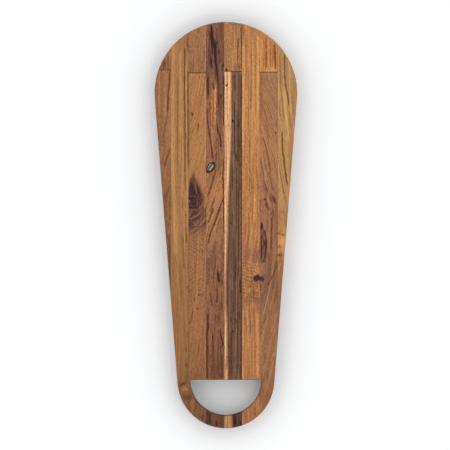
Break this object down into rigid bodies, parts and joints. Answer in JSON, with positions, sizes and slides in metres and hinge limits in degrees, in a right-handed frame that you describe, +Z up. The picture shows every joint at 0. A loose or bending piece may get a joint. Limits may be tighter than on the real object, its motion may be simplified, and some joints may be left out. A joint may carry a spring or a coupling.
{
  "type": "serving board",
  "caption": "Paddle-shaped wooden serving board glued up from parallel staves, with a round end and a D-shaped grip opening at the narrow end.",
  "frame": {"origin": "under the middle of the board's length and width, on the plane that its underside rests on", "axes": "+Y along the grain, from the grip opening towards the round end; +Z up out of the serving face; +X to the right, seen from above with the round end away"},
  "size_m": [0.2, 0.57, 0.022],
  "materials": {
    "timber_golden": "oiled satin, golden amber with fine straight grain",
    "timber_brown": "oiled satin, mid brown with darker streaks",
    "timber_reddish": "oiled satin, dark reddish brown",
    "timber_dark": "oiled satin, dark grey-brown with a pale sapwood edge",
    "resin": "glossy, smoky dark resin"
  },
  "bodies": {
    "root": {"stave_1_tip": "timber_brown", "stave_1_body": "timber_brown", "stave_2": "timber_golden", "stave_3_tip": "timber_brown", "stave_3_body": "timber_brown", "stave_4_body": "timber_reddish", "stave_4_grip": "timber_reddish", "stave_5_tip": "timber_golden", "stave_5_body": "timber_dark", "stave_5_grip": "timber_dark", "stave_6_body": "timber_golden", "stave_6_grip": "timber_golden", "stave_7_tip": "timber_golden", "stave_7_body": "timber_brown", "stave_8": "timber_golden", "knot_fill_large": "resin", "knot_fill_small": "resin"}
  },
  "joints": []
}
